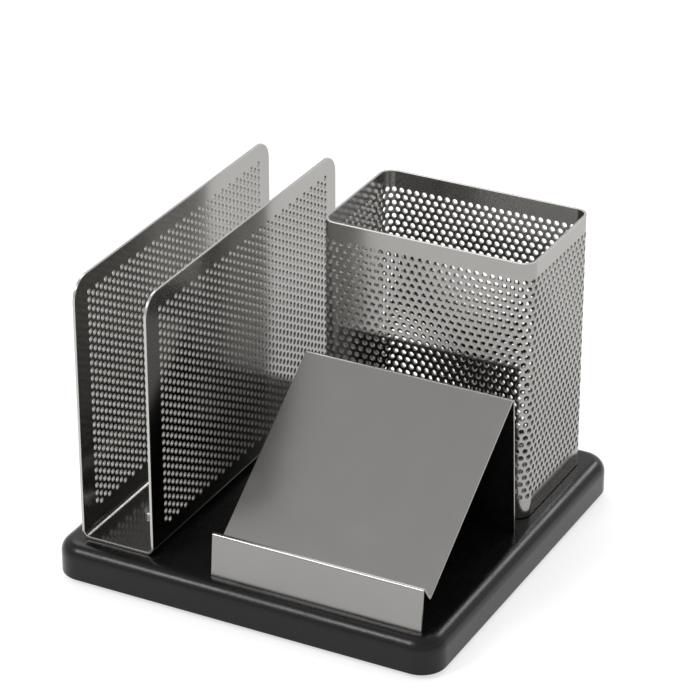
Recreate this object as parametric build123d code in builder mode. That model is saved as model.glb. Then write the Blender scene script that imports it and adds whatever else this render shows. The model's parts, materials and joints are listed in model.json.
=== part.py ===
"""Rotating desk organizer: a lacquered board on a ball-bearing turntable, carrying a perforated
pencil cup, a perforated letter holder and a bent-sheet note holder.

Millimetres, +Z up. The origin is on the desk, under the middle of the board: X runs along the
front edge to the right, Y runs to the back.
"""

import os
from math import cos, radians, sin, tan

from build123d import *

# Board
board_side = 149.2
board_thickness = 13.2
board_corner_radius = 9.4
board_top_round = 5.0
board_bottom_round = 0.8
desk_gap = 1.6

# Pencil cup: a rolled perforated wall round a pressed tray
cup_width = 81.0
cup_depth = 50.5
cup_height = 100.3
cup_corner_radius = 5.2
cup_sheet = 1.0
cup_side_margin = 8.0
cup_back_margin = 10.0
tray_sheet = 1.0
tray_lip = 6.5
tray_bend_radius = 1.6
weld_gap = 0.05

# Letter holder: one sheet bent into a U
letter_slot = 26.8
letter_height = 99.5
letter_sheet = 1.0
letter_bend_radius = 3.0
letter_corner_radius = 8.0
letter_side_margin = 8.0
letter_front_margin = 8.0
letter_back_margin = 4.2

# Note holder: one sheet bent over a ledge, a slope and a back leg
note_width = 80.2
note_sheet = 0.8
note_side_margin = 8.0
note_front_margin = 5.9
note_front_height = 16.2
note_front_lean = 5.0
note_crest_flat = 0.1
note_crest_inner_radius = 0.15
note_ledge = 7.2
note_slope = 35.3
note_cup_gap = 7.95
note_vee_radius = 0.6
note_apex_inner_radius = 0.5
note_back_lean = 3.5
tab_width = 10.0
tab_spacing = 50.0
tab_depth = 5.0
tab_clearance = 0.15

# Turntable: two pressed discs with a ball race between them
plate_sheet = 1.5
lower_plate_radius = 50.0
upper_plate_radius = 48.0
recess_clearance = 2.0
race_radius = 41.0
ball_diameter = 3.0
ball_count = 30
groove_clearance = 0.1
plate_gap = 1.5
cage_width = 8.0
cage_gap = 0.3
pocket_clearance = 0.15

# Pivot rivet and its washer
rivet_radius = 3.0
rivet_fit = 0.02
pivot_running_clearance = 0.08
rivet_head_radius = 5.5
rivet_head_height = 1.0
rivet_head_round = 0.4
rivet_tail_radius = 4.6
rivet_tail_height = 0.9
washer_radius = 6.2
washer_thickness = 0.5
washer_play = 0.1
pivot_pocket_clearance = 1.0

# Feet
foot_radius = 5.5
foot_thickness = 2.0
foot_round = 0.5
foot_count = 4

# Screws
plate_screw_circle = 24.0
plate_screw_count = 4
plate_screw_length = 6.5
plate_screw_shank_radius = 1.4
plate_screw_head_radius = 2.5
driver_hole_radius = 4.0
driver_hole_angle = 45.0
pan_screw_length = 7.0
pan_screw_shank_radius = 1.4
pan_screw_head_radius = 3.0
pan_screw_head_height = 2.0
pan_screw_head_round = 1.0
cross_slot_length = 3.2
cross_slot_width = 0.8
cross_slot_depth = 1.0
screw_tip_length = 2.0
pilot_clearance = 0.1
pilot_overdrill = 0.4
cup_screw_spacing = 40.0
letter_screw_spacing = 90.0

# Heights
board_bottom = desk_gap
board_top = desk_gap + board_thickness
lower_plate_bottom = foot_thickness
lower_plate_top = lower_plate_bottom + plate_sheet
ball_centre = lower_plate_top + plate_gap / 2
upper_plate_bottom = lower_plate_top + plate_gap
upper_plate_top = upper_plate_bottom + plate_sheet
washer_top = upper_plate_top + washer_thickness
rivet_head_bottom = washer_top + washer_play
rivet_head_top = rivet_head_bottom + rivet_head_height

# Places on the board
half_board = board_side / 2
cup_x = half_board - cup_side_margin - cup_width / 2
cup_y = half_board - cup_back_margin - cup_depth / 2
letter_outer_width = letter_slot + 2 * letter_sheet
letter_x = -half_board + letter_side_margin + letter_outer_width / 2
letter_length = board_side - letter_front_margin - letter_back_margin
letter_y = (letter_front_margin - letter_back_margin) / 2
note_x = half_board - note_side_margin - note_width / 2
note_front_y = -half_board + note_front_margin
note_crest_radius = note_crest_inner_radius + note_sheet
note_apex_radius = note_apex_inner_radius + note_sheet
note_crest_setbacks = tan(radians((90 - note_front_lean) / 2)) + tan(radians((90 - note_slope) / 2))
note_crest_width = note_crest_radius * note_crest_setbacks + note_crest_flat

cup_screw_points = [(cup_x - cup_screw_spacing / 2, cup_y), (cup_x + cup_screw_spacing / 2, cup_y)]
letter_screw_points = [
    (letter_x, letter_y - letter_screw_spacing / 2),
    (letter_x, letter_y + letter_screw_spacing / 2),
]


def note_outline():
    """Corners of the note holder's upper face in (Y, Z), from the front foot to the back foot."""
    crest_y = note_front_y + note_front_height * tan(radians(note_front_lean))
    vee_y = crest_y + note_crest_width + note_ledge * sin(radians(note_slope))
    vee_height = note_front_height - note_ledge * cos(radians(note_slope))
    back_foot_y = cup_y - cup_depth / 2 - note_cup_gap
    back_pull = tan(radians(note_back_lean))
    room = back_foot_y - vee_y - vee_height * back_pull
    slope_run = room / (1 + tan(radians(note_slope)) * back_pull)
    apex_y = vee_y + slope_run
    apex_height = vee_height + slope_run * tan(radians(note_slope))
    return [
        (note_front_y, board_top),
        (crest_y, board_top + note_front_height),
        (crest_y + note_crest_width, board_top + note_front_height),
        (vee_y, board_top + vee_height),
        (apex_y, board_top + apex_height),
        (back_foot_y, board_top),
    ]


def pan_screw_at(points, seat):
    """A group of pan-head wood screws whose heads sit on the height `seat`."""
    with BuildPart() as screw:
        with BuildSketch(Plane.XZ) as half:
            with BuildLine():
                Polyline(
                    (0, -pan_screw_length),
                    (pan_screw_shank_radius, screw_tip_length - pan_screw_length),
                    (pan_screw_shank_radius, 0),
                    (pan_screw_head_radius, 0),
                    (pan_screw_head_radius, pan_screw_head_height),
                    (0, pan_screw_head_height),
                    close=True,
                )
            make_face()
            rim = half.vertices().sort_by(Axis.X)[-2:].sort_by(Axis.Y)[-1]
            fillet(rim, pan_screw_head_round)
        revolve(axis=Axis.Z)
        slot_middle = pan_screw_head_height - cross_slot_depth / 2
        with Locations((0, 0, slot_middle)):
            Box(cross_slot_length, cross_slot_width, cross_slot_depth, mode=Mode.SUBTRACT)
            Box(cross_slot_width, cross_slot_length, cross_slot_depth, mode=Mode.SUBTRACT)
    with BuildPart() as group:
        with Locations(*[(x, y, seat) for x, y in points]):
            add(screw.part)
    return group


def ring_plate(outer_radius, hole_radius, bottom):
    """A flat disc of the plate sheet with a round middle hole and the ball groove in it."""
    with BuildPart() as plate:
        with BuildSketch(Plane.XZ):
            with Locations(((outer_radius + hole_radius) / 2, bottom + plate_sheet / 2)):
                Rectangle(outer_radius - hole_radius, plate_sheet)
            with Locations((race_radius, ball_centre)):
                Circle(ball_diameter / 2 + groove_clearance, mode=Mode.SUBTRACT)
        revolve(axis=Axis.Z)
    return plate


# Board, with a round recess below for the turntable, pilot holes and tab slots
with BuildPart() as base_board:
    with BuildSketch(Plane.XY.offset(board_bottom)):
        RectangleRounded(board_side, board_side, board_corner_radius)
    extrude(amount=board_thickness)
    fillet(base_board.faces().sort_by(Axis.Z)[-1].edges(), board_top_round)
    fillet(base_board.faces().sort_by(Axis.Z)[0].edges(), board_bottom_round)
    with BuildSketch(Plane.XY.offset(board_bottom)):
        Circle(lower_plate_radius + recess_clearance)
    extrude(amount=upper_plate_top - board_bottom, mode=Mode.SUBTRACT)
    with BuildSketch(Plane.XY.offset(upper_plate_top)):
        Circle(washer_radius + pivot_pocket_clearance)
    pocket_top = rivet_head_top + pivot_pocket_clearance
    extrude(amount=pocket_top - upper_plate_top, mode=Mode.SUBTRACT)
    with BuildSketch(Plane.XY.offset(upper_plate_top)):
        with PolarLocations(plate_screw_circle, plate_screw_count):
            Circle(plate_screw_shank_radius + pilot_clearance)
    pilot_height = plate_screw_length - plate_sheet + pilot_overdrill
    extrude(amount=pilot_height, mode=Mode.SUBTRACT)
    with BuildSketch(Plane.XY.offset(board_top)):
        with Locations(*cup_screw_points, *letter_screw_points):
            Circle(pan_screw_shank_radius + pilot_clearance)
    extrude(amount=-(pan_screw_length - tray_sheet + pilot_overdrill), mode=Mode.SUBTRACT)
    with BuildSketch(Plane.XY.offset(board_top)):
        front_foot_y = note_outline()[0][0]
        back_foot_y = note_outline()[-1][0]
        for slot_y in (front_foot_y + note_sheet / 2, back_foot_y - note_sheet / 2):
            with Locations((note_x, slot_y)):
                with GridLocations(tab_spacing, 0, 2, 1):
                    Rectangle(tab_width + 2 * tab_clearance, note_sheet + 2 * tab_clearance)
    extrude(amount=-(tab_depth + tab_clearance), mode=Mode.SUBTRACT)

# Pencil cup wall: one perforated sheet rolled round and butt-welded
with BuildPart() as pencil_cup_wall:
    with BuildSketch(Plane.XY.offset(board_top)):
        with Locations((cup_x, cup_y)):
            RectangleRounded(cup_width, cup_depth, cup_corner_radius)
            RectangleRounded(
                cup_width - 2 * cup_sheet,
                cup_depth - 2 * cup_sheet,
                cup_corner_radius - cup_sheet,
                mode=Mode.SUBTRACT,
            )
    extrude(amount=cup_height)

# Pencil cup floor: a pressed tray spot-welded inside the wall's foot
with BuildPart() as pencil_cup_floor:
    with BuildSketch(Plane.XY.offset(board_top)):
        with Locations((cup_x, cup_y)):
            RectangleRounded(
                cup_width - 2 * (cup_sheet + weld_gap),
                cup_depth - 2 * (cup_sheet + weld_gap),
                cup_corner_radius - cup_sheet - weld_gap,
            )
    extrude(amount=tray_lip)
    fillet(pencil_cup_floor.faces().sort_by(Axis.Z)[0].edges(), tray_bend_radius)
    offset(amount=-tray_sheet, openings=pencil_cup_floor.faces().sort_by(Axis.Z)[-1])
    with BuildSketch(Plane.XY.offset(board_top)):
        with Locations(*cup_screw_points):
            Circle(pan_screw_shank_radius + pilot_clearance)
    extrude(amount=tray_sheet, mode=Mode.SUBTRACT)

cup_screws = pan_screw_at(cup_screw_points, board_top + tray_sheet)

# Letter holder: two perforated panels and the floor between them, bent from one sheet
with BuildPart() as letter_holder:
    with BuildSketch(Plane.XZ.offset(-(letter_y + letter_length / 2))) as letter_section:
        with Locations((letter_x, board_top + letter_height / 2)):
            Rectangle(letter_outer_width, letter_height)
        fillet(letter_section.vertices().group_by(Axis.Y)[0], letter_bend_radius)
    extrude(amount=letter_length)
    with BuildSketch(Plane.XZ.offset(-(letter_y + letter_length / 2))) as slot_section:
        with Locations((letter_x, board_top + letter_sheet + letter_height / 2)):
            Rectangle(letter_slot, letter_height)
        fillet(slot_section.vertices().group_by(Axis.Y)[0], letter_bend_radius - letter_sheet)
    extrude(amount=letter_length, mode=Mode.SUBTRACT)
    top_corners = letter_holder.edges().filter_by(Axis.X).group_by(Axis.Z)[-1]
    fillet(top_corners, letter_corner_radius)
    with BuildSketch(Plane.XY.offset(board_top)):
        with Locations(*letter_screw_points):
            Circle(pan_screw_shank_radius + pilot_clearance)
    extrude(amount=letter_sheet, mode=Mode.SUBTRACT)

letter_screws = pan_screw_at(letter_screw_points, board_top + letter_sheet)

# Note holder: one folded sheet, standing on two legs whose tabs sit in the board
note_bends = [
    note_crest_radius,
    note_crest_radius,
    note_vee_radius,
    note_apex_radius,
]
outline = note_outline()
with BuildPart() as note_holder:
    with BuildSketch(Plane.YZ.offset(note_x - note_width / 2)):
        with BuildLine():
            Line((outline[0][0], board_top - tab_depth), outline[0])
            FilletPolyline(*outline, radius=note_bends)
            Line(outline[-1], (outline[-1][0], board_top - tab_depth))
            offset(amount=note_sheet, side=Side.RIGHT, kind=Kind.INTERSECTION)
        make_face()
    extrude(amount=note_width)
    outer_gap = (note_width - tab_spacing - tab_width) / 2
    with BuildSketch(Plane.XY.offset(board_top)):
        with Locations((note_x, 0)):
            Rectangle(tab_spacing - tab_width, 2 * board_side)
            with GridLocations(note_width - outer_gap, 0, 2, 1):
                Rectangle(outer_gap, 2 * board_side)
    extrude(amount=-2 * tab_depth, mode=Mode.SUBTRACT)

# Turntable plates
lower = ring_plate(lower_plate_radius, rivet_radius + rivet_fit, lower_plate_bottom)
with BuildPart() as turntable_lower_plate:
    add(lower.part)
    with BuildSketch(Plane.XY.offset(lower_plate_bottom)):
        with PolarLocations(plate_screw_circle, 1, start_angle=driver_hole_angle):
            Circle(driver_hole_radius)
    extrude(amount=plate_sheet, mode=Mode.SUBTRACT)

upper = ring_plate(upper_plate_radius, rivet_radius + pivot_running_clearance, upper_plate_bottom)
head_depth = plate_screw_head_radius - plate_screw_shank_radius
with BuildPart() as turntable_upper_plate:
    add(upper.part)
    with BuildSketch(Plane.XY.offset(upper_plate_bottom)):
        with PolarLocations(plate_screw_circle, plate_screw_count):
            Circle(plate_screw_shank_radius + pilot_clearance)
    extrude(amount=plate_sheet, mode=Mode.SUBTRACT)
    with PolarLocations(plate_screw_circle, plate_screw_count):
        with Locations((0, 0, upper_plate_bottom + head_depth / 2)):
            Cone(
                plate_screw_head_radius + pilot_clearance,
                plate_screw_shank_radius + pilot_clearance,
                head_depth,
                mode=Mode.SUBTRACT,
            )

# Countersunk screws, driven upwards through the upper plate into the board
with BuildPart() as plate_screw:
    with BuildSketch(Plane.XZ):
        with BuildLine():
            Polyline(
                (0, 0),
                (plate_screw_head_radius, 0),
                (plate_screw_shank_radius, head_depth),
                (plate_screw_shank_radius, plate_screw_length - screw_tip_length),
                (0, plate_screw_length),
                close=True,
            )
        make_face()
    revolve(axis=Axis.Z)
with BuildPart(Plane.XY.offset(upper_plate_bottom)) as turntable_screws:
    with PolarLocations(plate_screw_circle, plate_screw_count):
        add(plate_screw.part)

# Ball race
with BuildPart(Plane.XY.offset(ball_centre)) as bearing_balls:
    with PolarLocations(race_radius, ball_count):
        Sphere(ball_diameter / 2)

cage_thickness = plate_gap - 2 * cage_gap
with BuildPart() as ball_cage:
    with BuildSketch(Plane.XY.offset(ball_centre - cage_thickness / 2)):
        Circle(race_radius + cage_width / 2)
        Circle(race_radius - cage_width / 2, mode=Mode.SUBTRACT)
        with PolarLocations(race_radius, ball_count):
            Circle(ball_diameter / 2 + pocket_clearance, mode=Mode.SUBTRACT)
    extrude(amount=cage_thickness)

# Pivot rivet, set in the lower plate, with the upper plate turning on it
with BuildPart() as pivot_rivet:
    with BuildSketch(Plane.XY.offset(lower_plate_bottom - rivet_tail_height)):
        Circle(rivet_tail_radius)
    extrude(amount=rivet_tail_height)
    with BuildSketch(Plane.XY.offset(lower_plate_bottom)):
        Circle(rivet_radius)
    extrude(amount=rivet_head_bottom - lower_plate_bottom)
    with BuildSketch(Plane.XY.offset(rivet_head_bottom)):
        Circle(rivet_head_radius)
    extrude(amount=rivet_head_height)
    fillet(pivot_rivet.faces().sort_by(Axis.Z)[-1].edges(), rivet_head_round)
    fillet(pivot_rivet.faces().sort_by(Axis.Z)[0].edges(), rivet_head_round)

with BuildPart() as pivot_washer:
    with BuildSketch(Plane.XY.offset(upper_plate_top)):
        Circle(washer_radius)
        Circle(rivet_radius + pivot_running_clearance, mode=Mode.SUBTRACT)
    extrude(amount=washer_thickness)

# Rubber feet, glued under the lower plate below the race
with BuildPart() as rubber_feet:
    with BuildSketch(Plane.XY):
        with PolarLocations(race_radius, foot_count, start_angle=driver_hole_angle):
            Circle(foot_radius)
    extrude(amount=foot_thickness)
    fillet(rubber_feet.faces().group_by(Axis.Z)[0].edges(), foot_round)

pieces = {
    "base_board": base_board,
    "pencil_cup_wall": pencil_cup_wall,
    "pencil_cup_floor": pencil_cup_floor,
    "cup_screws": cup_screws,
    "letter_holder": letter_holder,
    "letter_screws": letter_screws,
    "note_holder": note_holder,
    "turntable_upper_plate": turntable_upper_plate,
    "turntable_screws": turntable_screws,
    "turntable_lower_plate": turntable_lower_plate,
    "bearing_balls": bearing_balls,
    "ball_cage": ball_cage,
    "pivot_rivet": pivot_rivet,
    "pivot_washer": pivot_washer,
    "rubber_feet": rubber_feet,
}

os.makedirs("parts", exist_ok=True)
for name, piece in pieces.items():
    piece.part.label = name
    export_step(piece.part, f"parts/{name}.step")
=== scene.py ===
"""Rotating desk organizer: perforated cup and letter holder, note holder and lacquered board.

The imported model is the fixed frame. Every size is in metres.
"""

import json
import math

import bmesh
import bpy
from bpy.props import FloatProperty, FloatVectorProperty, IntProperty, PointerProperty
from mathutils import Matrix, Vector


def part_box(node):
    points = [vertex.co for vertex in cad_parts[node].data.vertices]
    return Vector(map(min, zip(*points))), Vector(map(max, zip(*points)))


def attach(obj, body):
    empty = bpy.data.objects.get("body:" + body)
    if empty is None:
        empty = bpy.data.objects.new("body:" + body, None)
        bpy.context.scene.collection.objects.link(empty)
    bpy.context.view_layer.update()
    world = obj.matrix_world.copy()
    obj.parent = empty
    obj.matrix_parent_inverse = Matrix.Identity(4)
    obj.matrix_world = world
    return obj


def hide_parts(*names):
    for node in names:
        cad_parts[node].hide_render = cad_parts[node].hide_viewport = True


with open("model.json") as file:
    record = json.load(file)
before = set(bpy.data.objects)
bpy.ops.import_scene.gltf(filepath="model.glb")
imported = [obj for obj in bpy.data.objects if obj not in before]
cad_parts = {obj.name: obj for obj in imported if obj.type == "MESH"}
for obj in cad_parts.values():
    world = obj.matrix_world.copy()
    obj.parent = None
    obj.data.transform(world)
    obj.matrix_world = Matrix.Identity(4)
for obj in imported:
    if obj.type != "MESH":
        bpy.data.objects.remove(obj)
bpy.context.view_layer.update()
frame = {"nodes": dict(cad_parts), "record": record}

bl_info = {
    "name": "Rotating Desk Organizer",
    "version": (1, 0, 0),
    "blender": (4, 5, 0),
    "location": "View3D > Sidebar > Organizer",
    "description": "Builds the perforated sheets, finishes and studio of a rotating desk organizer",
    "category": "Object",
}

MM = 0.001
ROOT3 = math.sqrt(3.0)

# Points of a flat sheet that round to the same key are one corner.
KEY_STEPS_PER_METRE = 1e6
KEY_OFFSET = 0.1237
WRAP_NUDGE = 1e-9

# Sheet metal: a hole has two sides for each side of its six-sided cell.
HOLE_SIDES = 12
EDGE_ROUND = 0.28 * MM
BAND_JOIN = 0.4 * MM
BAND_DIVISIONS = 4
CORNER_STEPS = 14
BEND_STEPS = 8
SHARP_ANGLE = math.radians(35)
SHEET_FACE_COSINE = math.cos(math.radians(14))

# Face marks that the sheet's finish reads, and the prefix that keeps finishes apart.
BORE_MARK = "bore"
# The rim mark carries a painted highlight: marked rims take a lighter colour than the sheet.
RIM_MARK = "rim"
FINISH_PREFIX = "finish_"

# Studio
HORIZON_LEVEL = 0.7
ZENITH_LEVEL = 0.75
SKY_LEVELS = ((0.2, 0.7), (0.45, 0.9), (0.75, 0.7))
FLOOR_TONE = 0.5
AIM_HEIGHT = 40 * MM
SENSOR_WIDTH = 36.0
CLIP_START = 0.01
CLIP_END = 50.0


# ---------------------------------------------------------------- user settings


class CupSettings(bpy.types.PropertyGroup):
    """Sizes of the perforated pencil cup."""

    sheet: FloatProperty(
        name="Sheet", description="Thickness of the cup wall", default=1.0 * MM, unit="LENGTH"
    )
    corner: FloatProperty(
        name="Corner", description="Outer radius of the corners", default=5.2 * MM, unit="LENGTH"
    )
    hole: FloatProperty(
        name="Hole", description="Diameter of a hole", default=2.1 * MM, unit="LENGTH"
    )
    pitch: FloatProperty(
        name="Pitch", description="Wanted spacing of the holes", default=3.07 * MM, unit="LENGTH"
    )
    top_margin: FloatProperty(
        name="Top margin", description="Rim to first hole centres", default=7.4 * MM, unit="LENGTH"
    )
    foot_margin: FloatProperty(
        name="Foot margin", description="Foot to last hole centres", default=8.8 * MM, unit="LENGTH"
    )
    foot_gap: FloatProperty(
        name="Foot gap", description="Gap between wall and board", default=0.3 * MM, unit="LENGTH"
    )


class LetterSettings(bpy.types.PropertyGroup):
    """Sizes of the perforated letter holder."""

    sheet: FloatProperty(
        name="Sheet", description="Thickness of the sheet", default=1.0 * MM, unit="LENGTH"
    )
    bend: FloatProperty(
        name="Bend", description="Outer radius of the foot bends", default=3.0 * MM, unit="LENGTH"
    )
    corner: FloatProperty(
        name="Corner", description="Radius of the top corners", default=8.0 * MM, unit="LENGTH"
    )
    hole: FloatProperty(
        name="Hole", description="Diameter of a hole", default=2.1 * MM, unit="LENGTH"
    )
    pitch: FloatProperty(
        name="Pitch", description="Wanted spacing of the holes", default=3.07 * MM, unit="LENGTH"
    )
    top_margin: FloatProperty(
        name="Top margin", description="Top to first hole centres", default=7.4 * MM, unit="LENGTH"
    )
    foot_margin: FloatProperty(
        name="Foot margin", description="Foot to last hole centres", default=9.0 * MM, unit="LENGTH"
    )
    front_margin: FloatProperty(
        name="Front margin", description="Front edge to holes", default=9.3 * MM, unit="LENGTH"
    )
    back_margin: FloatProperty(
        name="Back margin", description="Back edge to holes", default=8.5 * MM, unit="LENGTH"
    )


class FinishSettings(bpy.types.PropertyGroup):
    """Colours and gloss of the finishes."""

    pewter: FloatVectorProperty(
        name="Pewter",
        description="Plating of the perforated sheets",
        default=(0.335, 0.325, 0.312),
        subtype="COLOR",
        min=0.0,
        max=1.0,
    )
    # Painted highlight: a lighter colour on the cut and rounded rims, so that they shine brighter
    # than the pewter.
    rim: FloatVectorProperty(
        name="Rim",
        description="Cut and rounded rims of the perforated sheets",
        default=(0.49, 0.48, 0.465),
        subtype="COLOR",
        min=0.0,
        max=1.0,
    )
    note_steel: FloatVectorProperty(
        name="Note holder",
        description="Plating of the note holder",
        default=(0.29, 0.282, 0.272),
        subtype="COLOR",
        min=0.0,
        max=1.0,
    )
    lacquer: FloatVectorProperty(
        name="Lacquer",
        description="Lacquer of the board",
        default=(0.0034, 0.0031, 0.0031),
        subtype="COLOR",
        min=0.0,
        max=1.0,
    )
    pewter_roughness: FloatProperty(
        name="Pewter roughness", description="0 is a mirror", default=0.14, min=0.0, max=1.0
    )
    bore_roughness: FloatProperty(
        name="Bore roughness", description="Added in the holes", default=0.4, min=0.0, max=1.0
    )
    lacquer_roughness: FloatProperty(
        name="Lacquer roughness", description="0 is a mirror", default=0.25, min=0.0, max=1.0
    )


class StudioSettings(bpy.types.PropertyGroup):
    """Camera and lights."""

    azimuth: FloatProperty(
        name="Azimuth",
        description="Camera's turn to the right of the front",
        default=math.radians(27.35),
        subtype="ANGLE",
    )
    elevation: FloatProperty(
        name="Elevation",
        description="Camera's height above the horizon",
        default=math.radians(27.38),
        subtype="ANGLE",
    )
    distance: FloatProperty(
        name="Distance", description="Camera to its aim", default=1.1487, unit="LENGTH"
    )
    aim_right: FloatProperty(
        name="Aim right", description="Aim beside the board's axis", default=0.0040, unit="LENGTH"
    )
    aim_up: FloatProperty(
        name="Aim up", description="Aim above the board's middle", default=0.0286, unit="LENGTH"
    )
    lens: FloatProperty(name="Lens", description="Focal length in mm", default=166.7)
    key_strength: FloatProperty(name="Key", description="Light from front left", default=1.0)
    left_strength: FloatProperty(name="Left", description="Light from back left", default=0.6)
    back_strength: FloatProperty(name="Back", description="Light from the back", default=0.42)
    floor_glow: FloatProperty(name="Floor glow", description="Lifts the paper", default=0.62)
    floor_size: IntProperty(name="Floor", description="Side of the floor in metres", default=20)


# ---------------------------------------------------------------- sheet metal


class Sheet:
    """A thin sheet described flat as (u, v) and put in place by a function of (u, v, depth)."""

    def __init__(self, place, period=None):
        self.place = place
        self.period = period
        self.mesh = bmesh.new()
        self.mesh.faces.layers.float.new(BORE_MARK)
        self.mesh.faces.layers.float.new(RIM_MARK)
        self.corners = {}
        self.hole_keys = set()

    def key(self, point):
        u, v = point
        if self.period:
            u = (u + WRAP_NUDGE) % self.period
        return (
            round(u * KEY_STEPS_PER_METRE + KEY_OFFSET),
            round(v * KEY_STEPS_PER_METRE + KEY_OFFSET),
        )

    def corner(self, point, depth):
        key = (self.key(point), depth)
        if key not in self.corners:
            self.corners[key] = self.mesh.verts.new(self.place(point[0], point[1], depth))
        return self.corners[key]

    def facet(self, points):
        """One facet of the front face and its twin on the back face."""
        self.mesh.faces.new([self.corner(p, 0) for p in points])
        self.mesh.faces.new([self.corner(p, 1) for p in reversed(points)])

    def cell(self, u, v, half_u, reach, hole_radius):
        """A six-sided cell round one hole: flat ends at u -/+ half_u, points at v -/+ reach."""
        rim = []
        for step in range(HOLE_SIDES):
            angle = 2 * math.pi * (step + 1) / HOLE_SIDES
            rim.append((u + hole_radius * math.cos(angle), v + hole_radius * math.sin(angle)))
        self.hole_keys.update(self.key(p) for p in rim)
        outer = [
            (u + half_u, v + reach / 2),
            (u, v + reach),
            (u - half_u, v + reach / 2),
            (u - half_u, v - reach / 2),
            (u, v - reach),
            (u + half_u, v - reach / 2),
        ]
        for step in range(6):
            after = (step + 1) % 6
            self.facet(
                [
                    outer[step],
                    outer[after],
                    rim[2 * after],
                    rim[2 * step + 1],
                    rim[2 * step],
                ]
            )

    def close(self):
        """Adds and marks the cut edges, rounds those that aren't in holes, returns the mesh."""
        twins = {}
        on_hole = set()
        for (key, depth), vert in self.corners.items():
            if depth == 0:
                twins[vert] = self.corners[(key, 1)]
            if key in self.hole_keys:
                on_hole.add(vert)
        open_edges = [e for e in self.mesh.edges if e.is_boundary and e.verts[0] in twins]
        bore = self.mesh.faces.layers.float[BORE_MARK]
        # The rim layer marks the faces that get the painted highlight colour.
        rim = self.mesh.faces.layers.float[RIM_MARK]
        rims = []
        for edge in open_edges:
            a, b = edge.verts
            cut = self.mesh.faces.new([a, b, twins[b], twins[a]])
            if a in on_hole:
                cut[bore] = 1.0
            else:
                cut[rim] = 1.0
                rims.append(edge)
                rims.append(self.mesh.edges.get([twins[a], twins[b]]))
        bmesh.ops.recalc_face_normals(self.mesh, faces=self.mesh.faces)
        rounded = bmesh.ops.bevel(
            self.mesh,
            geom=rims,
            offset=EDGE_ROUND,
            segments=2,
            profile=0.6,
            affect="EDGES",
            clamp_overlap=True,
        )
        for face in rounded["faces"]:
            face[rim] = 1.0
        return self.mesh


def even_normals(data, normal_at):
    """Gives the sheet's faces its exact normals, so that the rounded rims don't bend its shine."""
    normals = [(0.0, 0.0, 0.0)] * len(data.loops)
    for face in data.polygons:
        facing = face.normal.dot(normal_at(face.center))
        if abs(facing) < SHEET_FACE_COSINE:
            continue
        for loop in face.loop_indices:
            corner = data.vertices[data.loops[loop].vertex_index].co
            normals[loop] = normal_at(corner) * math.copysign(1.0, facing)
    data.normals_split_custom_set(normals)


def add_object(name, mesh, normal_at, body, finish, stands_for):
    """Makes a scene object of a bmesh, lets it ride on a body and take over a node."""
    data = bpy.data.meshes.new(name)
    mesh.to_mesh(data)
    mesh.free()
    data.shade_smooth()
    data.set_sharp_from_angle(angle=SHARP_ANGLE)
    even_normals(data, normal_at)
    data.materials.append(finish)
    piece = bpy.data.objects.new(name, data)
    bpy.context.scene.collection.objects.link(piece)
    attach(piece, body)
    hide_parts(stands_for)
    return piece


def round_loop_point(u, half_x, half_y, radius):
    """Point and outward normal at the arc length u round a rounded rectangle, from front left."""
    quarter = radius * math.pi / 2
    for side in range(4):
        turn = math.radians(90 * side - 90)
        out = Vector((math.cos(turn), math.sin(turn)))
        along = Vector((-math.sin(turn), math.cos(turn)))
        reach, half_run = (half_y, half_x - radius) if side % 2 == 0 else (half_x, half_y - radius)
        if u <= 2 * half_run:
            return out * reach + along * (u - half_run), out
        u -= 2 * half_run
        if u <= quarter or side == 3:
            angle = u / radius
            normal = out * math.cos(angle) + along * math.sin(angle)
            return out * (reach - radius) + along * half_run + normal * radius, normal
        u -= quarter


def perforated_cup(cup):
    """The cup wall: rows of holes run level right round its four rounded corners."""
    low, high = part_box("pencil_cup_wall")
    middle = (low + high) / 2
    half_x, half_y = (high.x - low.x) / 2, (high.y - low.y) / 2
    straight = 4 * (half_x + half_y - 2 * cup.corner)
    loop = straight + 2 * math.pi * cup.corner

    def place(u, v, depth):
        point, out = round_loop_point(u % loop, half_x, half_y, cup.corner)
        point = point - out * (cup.sheet * depth)
        return Vector((middle.x + point.x, middle.y + point.y, v))

    def normal_at(point):
        core_x, core_y = half_x - cup.corner, half_y - cup.corner
        out = Vector((point.x - middle.x, point.y - middle.y, 0))
        out.x -= min(max(out.x, -core_x), core_x)
        out.y -= min(max(out.y, -core_y), core_y)
        return out.normalized()

    count = round(loop / cup.pitch)
    pitch = loop / count
    room = high.z - low.z - cup.top_margin - cup.foot_margin
    rows = 1 + round(room / (pitch * ROOT3 / 2))
    row_step = room / (rows - 1)
    reach = row_step / 1.5
    first_row = low.z + cup.foot_margin
    last_row = high.z - cup.top_margin

    wall = Sheet(place, loop)
    for row in range(rows):
        for column in range(count):
            u = (column + 0.5 * (row % 2)) * pitch
            wall.cell(u, first_row + row * row_step, pitch / 2, reach, cup.hole / 2)
    plain_band(wall, count, pitch, reach, 0.0, first_row, -1, low.z + cup.foot_gap)
    plain_band(wall, count, pitch, reach, 0.5 * ((rows - 1) % 2), last_row, 1, high.z)
    return wall.close(), normal_at


def plain_band(wall, count, pitch, reach, shift, row, way, edge):
    """The unpunched band between the last row of cells and the sheet's edge, finely divided."""
    join = row + way * (reach + BAND_JOIN)
    for half_step in range(2 * count):
        ends = []
        for n in (half_step, half_step + 1):
            u = (shift + (n - 1) / 2) * pitch
            tip = reach / 2 if n % 2 == 0 else reach
            ends.append((u, row + way * tip))
        (u_a, v_a), (u_b, v_b) = ends
        stops = [u_a + (u_b - u_a) * k / BAND_DIVISIONS for k in range(BAND_DIVISIONS + 1)]
        wall.facet([(u_a, v_a), (u_b, v_b)] + [(u, join) for u in reversed(stops)])
        for a, b in zip(stops, stops[1:]):
            wall.facet([(a, join), (b, join), (b, edge), (a, edge)])


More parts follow.
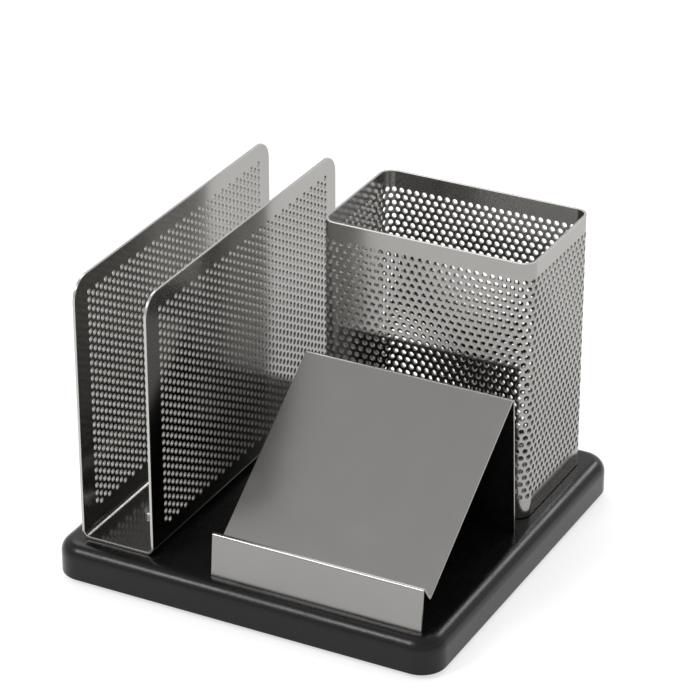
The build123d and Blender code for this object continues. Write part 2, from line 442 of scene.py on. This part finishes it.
def perforated_letter_holder(letter):
    """The U of the letter holder: two perforated panels and the bent floor between them."""
    low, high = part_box("letter_holder")
    width = high.x - low.x
    drop = high.z - low.z - letter.bend
    quarter = letter.bend * math.pi / 2
    floor_run = width - 2 * letter.bend
    total = 2 * drop + 2 * quarter + floor_run

    def section(w):
        """Outer face point (x, z) and inward normal at w along the U, from the left top."""
        if w <= drop:
            return Vector((low.x, high.z - w)), Vector((1, 0))
        if w >= total - drop:
            return Vector((high.x, high.z - (total - w))), Vector((-1, 0))
        if w <= drop + quarter:
            angle = (w - drop) / letter.bend
            inward = Vector((math.cos(angle), math.sin(angle)))
            centre = Vector((low.x + letter.bend, low.z + letter.bend))
            return centre - inward * letter.bend, inward
        if w >= total - drop - quarter:
            angle = (total - drop - w) / letter.bend
            inward = Vector((-math.cos(angle), math.sin(angle)))
            centre = Vector((high.x - letter.bend, low.z + letter.bend))
            return centre - inward * letter.bend, inward
        return Vector((low.x + letter.bend + w - drop - quarter, low.z)), Vector((0, 1))

    def place(w, v, depth):
        point, inward = section(w)
        point = point + inward * (letter.sheet * depth)
        return Vector((point.x, v, point.y))

    def normal_at(point):
        axis_z = low.z + letter.bend
        if point.z > axis_z:
            return Vector((math.copysign(1.0, point.x - (low.x + high.x) / 2), 0, 0))
        nearest = min(max(point.x, low.x + letter.bend), high.x - letter.bend)
        return Vector((point.x - nearest, 0, point.z - axis_z)).normalized()

    def end_trim(w):
        """How far the rounded top corner pulls the front and back ends in, at w."""
        fall = letter.corner - min(w, total - w)
        if fall <= 0:
            return 0.0
        return letter.corner - math.sqrt(max(letter.corner**2 - fall**2, 0.0))

    run = high.y - low.y - letter.front_margin - letter.back_margin
    columns = 1 + 2 * round(run / (letter.pitch * ROOT3))
    column_step = run / (columns - 1)
    reach = column_step / 1.5
    first_column = low.y + letter.front_margin
    last_column = high.y - letter.back_margin
    tall = high.z - low.z - letter.top_margin - letter.foot_margin
    count = round(tall / letter.pitch + 0.5)
    pitch = tall / (count - 0.5)
    zone_top = letter.top_margin - pitch / 2
    zone_foot = zone_top + (count + 0.5) * pitch
    stops = {0: [], 1: []}
    for column in range(columns):
        centre = first_column + column * column_step
        stops[column % 2] += [centre - reach / 2, centre + reach / 2]

    sheet = Sheet(place)

    def strip(w_a, w_b, inner):
        """A plain strip from front to back between two places along the U."""
        line_a = [low.y + end_trim(w_a)] + inner + [high.y - end_trim(w_a)]
        line_b = [low.y + end_trim(w_b)] + inner + [high.y - end_trim(w_b)]
        for n in range(len(line_a) - 1):
            sheet.facet(
                [
                    (w_a, line_a[n]),
                    (w_a, line_a[n + 1]),
                    (w_b, line_b[n + 1]),
                    (w_b, line_b[n]),
                ]
            )

    def panel(along):
        """One perforated panel; `along` turns a distance below its top into a place on the U."""
        for column in range(columns):
            v = first_column + column * column_step
            odd = column % 2
            for hole in range(count):
                u = zone_top + (hole + 0.5 + 0.5 * odd) * pitch
                sheet.cell(along(u), v, pitch / 2, reach, letter.hole / 2)
            edge, side = (zone_top, 1) if odd else (zone_foot, -1)
            inner = edge + side * pitch / 2
            if 0 < column < columns - 1:
                sheet.facet(
                    [
                        (along(inner), v + reach / 2),
                        (along(edge), v + reach),
                        (along(edge), v - reach),
                        (along(inner), v - reach / 2),
                    ]
                )
            else:
                way, limit = (-1, low.y) if column == 0 else (1, high.y)
                sheet.facet(
                    [
                        (along(inner), v - way * reach / 2),
                        (along(edge), v - way * reach),
                        (along(edge), limit),
                        (along(inner), limit),
                        (along(inner), v + way * reach / 2),
                    ]
                )
        for v, way, limit in ((first_column, -1, low.y), (last_column, 1, high.y)):
            for n in range(2 * count):
                u_a, u_b = zone_top + n * pitch / 2, zone_top + (n + 1) * pitch / 2
                tip_a, tip_b = (reach / 2, reach) if n % 2 == 0 else (reach, reach / 2)
                sheet.facet(
                    [
                        (along(u_a), v + way * tip_a),
                        (along(u_b), v + way * tip_b),
                        (along(u_b), limit - way * end_trim(u_b)),
                        (along(u_a), limit - way * end_trim(u_a)),
                    ]
                )
        upper = stops[0]
        flat = [v for v in upper if low.y + letter.corner <= v <= high.y - letter.corner]
        for v_a, v_b in zip(flat, flat[1:]):
            sheet.facet(
                [
                    (along(0), v_a),
                    (along(0), v_b),
                    (along(zone_top), v_b),
                    (along(zone_top), v_a),
                ]
            )
        for limit, inner, way in ((low.y, flat[0], 1), (high.y, flat[-1], -1)):
            arc = []
            for n in range(CORNER_STEPS + 1):
                angle = math.pi / 2 * n / CORNER_STEPS
                u = letter.corner * (1 - math.cos(angle))
                if u < zone_top:
                    arc.append((along(u), limit + way * end_trim(u)))
            arc.append((along(zone_top), limit + way * end_trim(zone_top)))
            beyond = [v for v in upper if way * (inner - v) > 0]
            beyond.sort(key=lambda v: abs(limit - v))
            arc += [(along(zone_top), v) for v in beyond]
            sheet.facet([(along(0), inner)] + arc + [(along(zone_top), inner)])

    panel(lambda u: u)
    panel(lambda u: total - u)
    bend = [drop + quarter * n / BEND_STEPS for n in range(BEND_STEPS + 1)]
    line = [zone_foot] + bend + [total - w for w in reversed(bend)] + [total - zone_foot]
    for w_a, w_b in zip(line, line[1:]):
        strip(w_a, w_b, stops[1])
    return sheet.close(), normal_at


# ---------------------------------------------------------------- finishes


def node(tree, kind, links=(), **values):
    """Adds a node, sets its properties and unlinked inputs, and links (input, socket) pairs."""
    made = tree.nodes.new(kind)
    for name, value in values.items():
        if name in made.inputs:
            made.inputs[name].default_value = value
        else:
            setattr(made, name, value)
    for name, source in links:
        tree.links.new(source, made.inputs[name])
    return made


def new_group(name, inputs, outputs):
    """A shader node group with float, vector or colour sockets."""
    kinds = {"float": "NodeSocketFloat", "vector": "NodeSocketVector", "color": "NodeSocketColor"}
    tree = bpy.data.node_groups.new(name, "ShaderNodeTree")
    for label, kind, value in inputs:
        socket = tree.interface.new_socket(label, in_out="INPUT", socket_type=kinds[kind])
        socket.default_value = value
    for label, kind in outputs:
        tree.interface.new_socket(label, in_out="OUTPUT", socket_type=kinds[kind])
    return tree, tree.nodes.new("NodeGroupInput"), tree.nodes.new("NodeGroupOutput")


def grain_group():
    """Fine grain with a stretch: its height, and a slow drift of gloss and tone."""
    tree, given, result = new_group(
        "Grain",
        [
            ("Stretch", "vector", (1.0, 1.0, 1.0)),
            ("Fine Scale", "float", 4000.0),
            ("Drift Scale", "float", 30.0),
            ("Roughness", "float", 0.25),
            ("Roughness Drift", "float", 0.05),
        ],
        [("Height", "float"), ("Roughness", "float"), ("Drift", "float")],
    )
    place = node(tree, "ShaderNodeTexCoord")
    stretched = node(
        tree,
        "ShaderNodeVectorMath",
        operation="MULTIPLY",
        links=[(0, place.outputs["Object"]), (1, given.outputs["Stretch"])],
    )
    fine = node(
        tree,
        "ShaderNodeTexNoise",
        links=[("Vector", stretched.outputs[0]), ("Scale", given.outputs["Fine Scale"])],
        Detail=3.0,
        Roughness=0.6,
    )
    drift = node(
        tree,
        "ShaderNodeTexNoise",
        links=[("Vector", place.outputs["Object"]), ("Scale", given.outputs["Drift Scale"])],
        Detail=4.0,
        Roughness=0.55,
    )
    mixed = node(
        tree,
        "ShaderNodeMath",
        operation="ADD",
        links=[(0, fine.outputs["Fac"]), (1, drift.outputs["Fac"])],
    )
    centred = node(
        tree, "ShaderNodeMath", operation="SUBTRACT", links=[(0, mixed.outputs[0])]
    )
    centred.inputs[1].default_value = 1.0
    rough = node(
        tree,
        "ShaderNodeMath",
        operation="MULTIPLY_ADD",
        use_clamp=True,
        links=[
            (0, centred.outputs[0]),
            (1, given.outputs["Roughness Drift"]),
            (2, given.outputs["Roughness"]),
        ],
    )
    tree.links.new(fine.outputs["Fac"], result.inputs["Height"])
    tree.links.new(rough.outputs[0], result.inputs["Roughness"])
    tree.links.new(drift.outputs["Fac"], result.inputs["Drift"])
    return tree


def marks_group():
    """Faint handling marks: a mask of soft smudges."""
    tree, given, result = new_group(
        "Marks",
        [("Smudge Scale", "float", 60.0)],
        [("Smudges", "float")],
    )
    place = node(tree, "ShaderNodeTexCoord")
    smudge = node(
        tree,
        "ShaderNodeTexNoise",
        links=[("Vector", place.outputs["Object"]), ("Scale", given.outputs["Smudge Scale"])],
        Detail=6.0,
        Roughness=0.65,
        Distortion=0.4,
    )
    soft = node(
        tree,
        "ShaderNodeMapRange",
        links=[("Value", smudge.outputs["Fac"])],
        interpolation_type="SMOOTHSTEP",
    )
    soft.inputs["From Min"].default_value = 0.45
    soft.inputs["From Max"].default_value = 0.75
    tree.links.new(soft.outputs["Result"], result.inputs["Smudges"])
    return tree


SHADER_INPUTS = {"metallic": "Metallic", "specular": "Specular IOR Level"}


def mix_colours(tree, factor, first, second):
    """Mixes two colours, each an output socket or three numbers, and returns the output."""
    mix = node(tree, "ShaderNodeMix", data_type="RGBA")
    tree.links.new(factor, mix.inputs["Factor"])
    for label, colour in (("A", first), ("B", second)):
        socket = [s for s in mix.inputs if s.type == "RGBA" and s.name == label][0]
        if isinstance(colour, tuple):
            socket.default_value = (*colour, 1.0)
        else:
            tree.links.new(colour, socket)
    return [s for s in mix.outputs if s.type == "RGBA"][0]


def add_scaled(tree, mask, amount, base):
    """Adds a mask times an amount to a base value, kept within 0 and 1."""
    total = node(
        tree, "ShaderNodeMath", operation="MULTIPLY_ADD", use_clamp=True, links=[(0, mask), (2, base)]
    )
    total.inputs[1].default_value = amount
    return total.outputs[0]


def finish_material(
    name, groups, colour, colour_away, grain, bump, marks=None, cuts=None, **shader
):
    """A finish: the shader's fixed values, grain and drift from the groups, and a bump; on cut sheets
    a painted highlight on the rims.
    """
    material = bpy.data.materials.new(FINISH_PREFIX + name)
    material.use_nodes = True
    tree = material.node_tree
    surface = tree.nodes["Principled BSDF"]
    for label, value in shader.items():
        surface.inputs[SHADER_INPUTS[label]].default_value = value
    texture = node(tree, "ShaderNodeGroup", node_tree=groups["grain"])
    for label, value in grain.items():
        texture.inputs[label].default_value = value
    tint = mix_colours(tree, texture.outputs["Drift"], colour, colour_away)
    rough = texture.outputs["Roughness"]
    if marks:
        wear = node(tree, "ShaderNodeGroup", node_tree=groups["marks"])
        wear.inputs["Smudge Scale"].default_value = marks["scale"]
        rough = add_scaled(tree, wear.outputs["Smudges"], marks["amount"], rough)
    if cuts:
        bore = node(tree, "ShaderNodeAttribute", attribute_name=BORE_MARK)
        rim = node(tree, "ShaderNodeAttribute", attribute_name=RIM_MARK)
        # Painted highlight: the marked rims take a lighter colour than the sheet.
        tint = mix_colours(tree, rim.outputs["Fac"], tint, cuts["rim_highlight_colour"])
        rough = add_scaled(tree, bore.outputs["Fac"], cuts["bore_roughness"], rough)
        rough = add_scaled(tree, rim.outputs["Fac"], cuts["rim_roughness"], rough)
    tree.links.new(tint, surface.inputs["Base Color"])
    tree.links.new(rough, surface.inputs["Roughness"])
    dents = node(
        tree,
        "ShaderNodeBump",
        links=[("Height", texture.outputs["Height"])],
        Strength=bump["strength"],
        Distance=bump["depth"],
    )
    tree.links.new(dents.outputs["Normal"], surface.inputs["Normal"])
    return material


def make_finishes(finish):
    """All the finishes by the record's slot names."""
    groups = {"grain": grain_group(), "marks": marks_group()}
    pewter = tuple(finish.pewter)
    note = tuple(finish.note_steel)
    lacquer = tuple(finish.lacquer)
    made = {}
    made["pewter_sheet"] = finish_material(
        "pewter_sheet",
        groups,
        pewter,
        tuple(0.94 * c for c in pewter),
        {
            "Fine Scale": 2500.0,
            "Drift Scale": 45.0,
            "Roughness": finish.pewter_roughness,
            "Roughness Drift": 0.03,
        },
        {"strength": 0.03, "depth": 0.01 * MM},
        marks={"scale": 70.0, "amount": 0.02},
        cuts={
            # The rim colour is a painted highlight on the cut and rounded rims.
            "rim_highlight_colour": tuple(finish.rim),
            "rim_roughness": 0.12,
            "bore_roughness": finish.bore_roughness,
        },
        metallic=1.0,
    )
    made["brushed_sheet"] = finish_material(
        "brushed_sheet",
        groups,
        note,
        tuple(0.93 * c for c in note),
        {
            "Stretch": (0.04, 1.0, 1.0),
            "Fine Scale": 3500.0,
            "Drift Scale": 60.0,
            "Roughness": 0.22,
            "Roughness Drift": 0.05,
        },
        {"strength": 0.08, "depth": 0.01 * MM},
        marks={"scale": 80.0, "amount": 0.03},
        metallic=1.0,
    )
    made["lacquered_board"] = finish_material(
        "lacquered_board",
        groups,
        lacquer,
        tuple(1.5 * c for c in lacquer),
        {
            "Stretch": (0.6, 1.0, 1.0),
            "Fine Scale": 1400.0,
            "Drift Scale": 35.0,
            "Roughness": finish.lacquer_roughness,
            "Roughness Drift": 0.10,
        },
        {"strength": 0.35, "depth": 0.06 * MM},
        marks={"scale": 50.0, "amount": 0.06},
        specular=0.28,
    )
    made["zinc_plate"] = finish_material(
        "zinc_plate",
        groups,
        (0.55, 0.56, 0.58),
        (0.48, 0.50, 0.54),
        {"Fine Scale": 1800.0, "Drift Scale": 120.0, "Roughness": 0.34, "Roughness Drift": 0.12},
        {"strength": 0.2, "depth": 0.03 * MM},
        marks={"scale": 90.0, "amount": 0.1},
        metallic=1.0,
    )
    made["zinc_screw"] = finish_material(
        "zinc_screw",
        groups,
        (0.60, 0.60, 0.61),
        (0.52, 0.52, 0.55),
        {"Fine Scale": 3000.0, "Drift Scale": 300.0, "Roughness": 0.28, "Roughness Drift": 0.1},
        {"strength": 0.2, "depth": 0.02 * MM},
        metallic=1.0,
    )
    made["ball_steel"] = finish_material(
        "ball_steel",
        groups,
        (0.75, 0.75, 0.76),
        (0.70, 0.70, 0.72),
        {"Fine Scale": 3000.0, "Drift Scale": 200.0, "Roughness": 0.08, "Roughness Drift": 0.04},
        {"strength": 0.02, "depth": 0.01 * MM},
        metallic=1.0,
    )
    made["nylon"] = finish_material(
        "nylon",
        groups,
        (0.78, 0.76, 0.70),
        (0.72, 0.70, 0.64),
        {"Fine Scale": 2200.0, "Drift Scale": 90.0, "Roughness": 0.45, "Roughness Drift": 0.08},
        {"strength": 0.15, "depth": 0.03 * MM},
    )
    made["foot_rubber"] = finish_material(
        "foot_rubber",
        groups,
        (0.020, 0.020, 0.021),
        (0.032, 0.032, 0.034),
        {"Fine Scale": 1600.0, "Drift Scale": 150.0, "Roughness": 0.8, "Roughness Drift": 0.1},
        {"strength": 0.4, "depth": 0.05 * MM},
        marks={"scale": 200.0, "amount": 0.1},
    )
    return made


def finish_for(slot_name):
    """The finish of a slot, made on first use together with all the others."""
    if FINISH_PREFIX + slot_name not in bpy.data.materials:
        make_finishes(bpy.context.scene.organizer_finish)
    return bpy.data.materials[FINISH_PREFIX + slot_name]


# ---------------------------------------------------------------- operators


class ORGANIZER_OT_finishes(bpy.types.Operator):
    """Give every CAD part its finish"""

    bl_idname = "organizer.finishes"
    bl_label = "Part Finishes"

    def execute(self, context):
        made = make_finishes(context.scene.organizer_finish)
        for row in frame["record"]["subparts"]:
            part = frame["nodes"][row["node"]]
            for holder in part.material_slots:
                holder.material = made[row["material_slot"]]
        return {"FINISHED"}


class ORGANIZER_OT_pencil_cup(bpy.types.Operator):
    """Build the perforated wall of the pencil cup"""

    bl_idname = "organizer.pencil_cup"
    bl_label = "Pencil Cup"

    def execute(self, context):
        mesh, normal_at = perforated_cup(context.scene.organizer_cup)
        slot = "pewter_sheet"
        add_object(
            "cup_mesh_wall", mesh, normal_at, "carousel", finish_for(slot), "pencil_cup_wall"
        )
        return {"FINISHED"}


class ORGANIZER_OT_letter_holder(bpy.types.Operator):
    """Build the perforated letter holder"""

    bl_idname = "organizer.letter_holder"
    bl_label = "Letter Holder"

    def execute(self, context):
        mesh, normal_at = perforated_letter_holder(context.scene.organizer_letter)
        slot = "pewter_sheet"
        add_object(
            "letter_mesh_sheet", mesh, normal_at, "carousel", finish_for(slot), "letter_holder"
        )
        return {"FINISHED"}


class ORGANIZER_OT_studio(bpy.types.Operator):
    """Set up the floor, the lights and the camera"""

    bl_idname = "organizer.studio"
    bl_label = "Studio"

    def execute(self, context):
        studio = context.scene.organizer_studio
        make_floor(studio)
        make_lights(studio)
        make_camera(studio)
        return {"FINISHED"}


def make_floor(studio):
    """A plain pale floor at the height of the feet."""
    half = studio.floor_size / 2
    data = bpy.data.meshes.new("floor")
    corners = [(-half, -half, 0), (half, -half, 0), (half, half, 0), (-half, half, 0)]
    data.from_pydata(corners, [], [(0, 1, 2, 3)])
    floor = bpy.data.objects.new("floor", data)
    bpy.context.scene.collection.objects.link(floor)
    paper = bpy.data.materials.new("floor_paper")
    paper.use_nodes = True
    surface = paper.node_tree.nodes["Principled BSDF"]
    surface.inputs["Base Color"].default_value = (FLOOR_TONE, FLOOR_TONE, FLOOR_TONE, 1.0)
    surface.inputs["Roughness"].default_value = 0.9
    surface.inputs["Specular IOR Level"].default_value = 0.1
    surface.inputs["Emission Color"].default_value = (1.0, 1.0, 1.0, 1.0)
    surface.inputs["Emission Strength"].default_value = studio.floor_glow
    data.materials.append(paper)


def direction_at(azimuth, elevation):
    """The direction from the object to a place seen at an azimuth and elevation in radians."""
    return Vector(
        (
            math.sin(azimuth) * math.cos(elevation),
            -math.cos(azimuth) * math.cos(elevation),
            math.sin(elevation),
        )
    )


def make_sun(name, azimuth, elevation, angle, strength):
    """A broad soft sun that shines from an azimuth and elevation in degrees."""
    lamp = bpy.data.lights.new(name, "SUN")
    lamp.energy = strength
    lamp.angle = math.radians(angle)
    sun = bpy.data.objects.new(name, lamp)
    towards = direction_at(math.radians(azimuth), math.radians(elevation))
    sun.rotation_mode = "QUATERNION"
    sun.rotation_quaternion = towards.to_track_quat("Z", "Y")
    bpy.context.scene.collection.objects.link(sun)


def make_lights(studio):
    """A soft key, two soft lights from behind and a world that is brightest half way up."""
    make_sun("key_light", azimuth=-35, elevation=45, angle=18, strength=studio.key_strength)
    make_sun("left_light", azimuth=-136, elevation=54, angle=34, strength=studio.left_strength)
    make_sun("back_light", azimuth=166, elevation=35, angle=16, strength=studio.back_strength)
    world = bpy.data.worlds.new("studio")
    bpy.context.scene.world = world
    world.use_nodes = True
    tree = world.node_tree
    backdrop = tree.nodes["Background"]
    direction = node(tree, "ShaderNodeTexCoord")
    parts = node(
        tree, "ShaderNodeSeparateXYZ", links=[("Vector", direction.outputs["Generated"])]
    )
    ramp = node(tree, "ShaderNodeValToRGB", links=[("Fac", parts.outputs["Z"])])
    stops = ramp.color_ramp.elements
    for stop, level in zip(stops, (HORIZON_LEVEL, ZENITH_LEVEL)):
        stop.color = (level, level, level, 1.0)
    for height, level in SKY_LEVELS:
        stops.new(height).color = (level, level, level, 1.0)
    tree.links.new(ramp.outputs["Color"], backdrop.inputs["Color"])


def make_camera(studio):
    """The camera, aimed beside and above the middle of the organizer."""
    low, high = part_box("base_board")
    back = direction_at(studio.azimuth, studio.elevation)
    right = Vector((math.cos(studio.azimuth), math.sin(studio.azimuth), 0.0))
    up = back.cross(right)
    aim = Vector(((low.x + high.x) / 2, (low.y + high.y) / 2, low.z + AIM_HEIGHT))
    aim += right * studio.aim_right + up * studio.aim_up
    data = bpy.data.cameras.new("camera")
    data.lens = studio.lens
    data.sensor_width = SENSOR_WIDTH
    data.clip_start = CLIP_START
    data.clip_end = CLIP_END
    camera = bpy.data.objects.new("camera", data)
    camera.location = aim + back * studio.distance
    axes = Matrix((right, up, back)).transposed()
    camera.rotation_mode = "QUATERNION"
    camera.rotation_quaternion = axes.to_quaternion()
    bpy.context.scene.collection.objects.link(camera)
    bpy.context.scene.camera = camera
    bpy.context.scene.view_settings.view_transform = "Standard"


# ---------------------------------------------------------------- panel and registration


OPERATORS = (
    ORGANIZER_OT_finishes,
    ORGANIZER_OT_pencil_cup,
    ORGANIZER_OT_letter_holder,
    ORGANIZER_OT_studio,
)


class ORGANIZER_PT_panel(bpy.types.Panel):
    """Lists the settings and the build steps."""

    bl_idname = "ORGANIZER_PT_panel"
    bl_label = "Desk Organizer"
    bl_space_type = "VIEW_3D"
    bl_region_type = "UI"
    bl_category = "Organizer"

    def draw(self, context):
        column = self.layout.column()
        for kind in OPERATORS:
            column.operator(kind.bl_idname)
        for name, kind in SETTINGS:
            box = self.layout.box()
            for field in kind.__annotations__:
                box.prop(getattr(context.scene, name), field)


SETTINGS = (
    ("organizer_cup", CupSettings),
    ("organizer_letter", LetterSettings),
    ("organizer_finish", FinishSettings),
    ("organizer_studio", StudioSettings),
)


def register():
    for name, kind in SETTINGS:
        bpy.utils.register_class(kind)
        setattr(bpy.types.Scene, name, PointerProperty(type=kind))
    for kind in OPERATORS:
        bpy.utils.register_class(kind)
    bpy.utils.register_class(ORGANIZER_PT_panel)


def unregister():
    bpy.utils.unregister_class(ORGANIZER_PT_panel)
    for kind in reversed(OPERATORS):
        bpy.utils.unregister_class(kind)
    for name, kind in reversed(SETTINGS):
        delattr(bpy.types.Scene, name)
        bpy.utils.unregister_class(kind)


def main():
    register()
    bpy.ops.organizer.finishes()
    bpy.ops.organizer.pencil_cup()
    bpy.ops.organizer.letter_holder()
    bpy.ops.organizer.studio()


if __name__ == "__main__":
    main()
